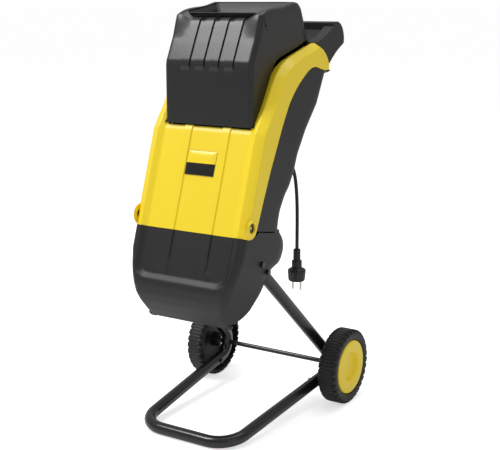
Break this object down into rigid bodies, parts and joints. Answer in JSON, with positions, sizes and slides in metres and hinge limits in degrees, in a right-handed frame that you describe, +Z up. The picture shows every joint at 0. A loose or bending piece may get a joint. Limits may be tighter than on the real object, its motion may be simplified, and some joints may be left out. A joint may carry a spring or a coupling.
{
  "type": "wood chipper",
  "caption": "Upright electric garden shredder: leaning two-colour body with a feed hopper on top, cutting disc at the bottom, bent-tube stand and wheels.",
  "frame": {"origin": "on the ground, under the middle of the overall width and depth measured without the mains lead and plug", "axes": "+X to the right of someone facing the front, +Y from the front foot bar towards the wheels, +Z up"},
  "size_m": [0.3776, 0.4448, 0.8415],
  "materials": {
    "yellow_plastic": "satin moulded yellow",
    "black_plastic": "fine satin moulded black",
    "black_paint": "gloss black powder coat on bent steel tube",
    "black_rubber": "soft moulded black",
    "wheel_plastic": "hard moulded black with a tyre tread",
    "steel": "zinc plated or ground",
    "cast_alloy": "as cast",
    "copper": "copper windings and brush boxes",
    "red_plastic": "moulded red",
    "badge_film": "printed film, two plain fields"
  },
  "bodies": {
    "base": {"lower_housing": "black_plastic", "chamber_liner": "steel", "foot_tube": "black_paint", "left_strut_tube": "black_paint", "right_strut_tube": "black_paint", "left_joint_bolt": "steel", "left_joint_nut": "steel", "right_joint_bolt": "steel", "right_joint_nut": "steel", "left_socket_bolt_1": "steel", "left_socket_bolt_2": "steel", "right_socket_bolt_1": "steel", "right_socket_bolt_2": "steel", "axle": "steel", "left_washer": "steel", "right_washer": "steel", "left_push_nut": "steel", "right_push_nut": "steel"},
    "upper_body": {"front_shell": "yellow_plastic", "back_shell": "black_plastic", "hopper_hood": "black_plastic", "feed_chute": "black_plastic", "bearing_plate": "cast_alloy", "carry_handle": "black_plastic", "front_badge": "badge_film", "motor_stator": "steel", "lower_bearing": "steel", "upper_bearing": "steel", "left_motor_post": "steel", "right_motor_post": "steel", "motor_end_frame": "cast_alloy", "left_brush": "copper", "right_brush": "copper", "switch_box": "black_plastic", "overload_breaker": "black_plastic", "cable_gland": "black_rubber", "mains_lead": "black_rubber", "mains_plug": "black_rubber", "left_plug_pin": "steel", "right_plug_pin": "steel", "left_pivot_screw": "steel", "right_pivot_screw": "steel"},
    "rotor": {"motor_shaft": "steel", "armature": "copper", "cooling_fan": "black_plastic", "cutting_disc": "steel", "knife_a": "steel", "knife_b": "steel", "knife_screw_1": "steel", "knife_screw_2": "steel", "knife_screw_3": "steel", "knife_screw_4": "steel", "disc_nut": "steel"},
    "left_road_wheel": {"left_wheel": "wheel_plastic", "left_hub_cover": "yellow_plastic"},
    "right_road_wheel": {"right_wheel": "wheel_plastic", "right_hub_cover": "yellow_plastic"},
    "rocker": {"switch_rocker": "red_plastic"},
    "reset": {"reset_button": "red_plastic"},
    "knob": {"locking_knob": "black_plastic"}
  },
  "joints": [
    {"name": "upper_tilt", "type": "hinge", "parent": "base", "child": "upper_body", "pos_m": [0, -0.16822, 0.43321], "axis": [1, 0, 0], "range_deg": [0, 60]},
    {"name": "rotor_spin", "type": "hinge", "parent": "upper_body", "child": "rotor", "pos_m": [0, -0.08814, 0.39537], "axis": [0, 0.3224, 0.9466], "continuous": true},
    {"name": "left_wheel_spin", "type": "hinge", "parent": "base", "child": "left_road_wheel", "pos_m": [-0.168, 0.1415, 0.08], "axis": [1, 0, 0], "continuous": true},
    {"name": "right_wheel_spin", "type": "hinge", "parent": "base", "child": "right_road_wheel", "pos_m": [0.168, 0.1415, 0.08], "axis": [1, 0, 0], "continuous": true},
    {"name": "switch_rock", "type": "hinge", "parent": "upper_body", "child": "rocker", "pos_m": [0, 0.11469, 0.65588], "axis": [1, 0, 0], "range_deg": [-10, 0]},
    {"name": "reset_press", "type": "slide", "parent": "upper_body", "child": "reset", "axis": [0, -0.9466, 0.3224], "range_m": [0, 0.003], "stiffness_N_per_m": 300},
    {"name": "knob_turn", "type": "hinge", "parent": "upper_body", "child": "knob", "pos_m": [0, 0.01184, 0.40357], "axis": [0, 0.3224, 0.9466], "continuous": true}
  ]
}
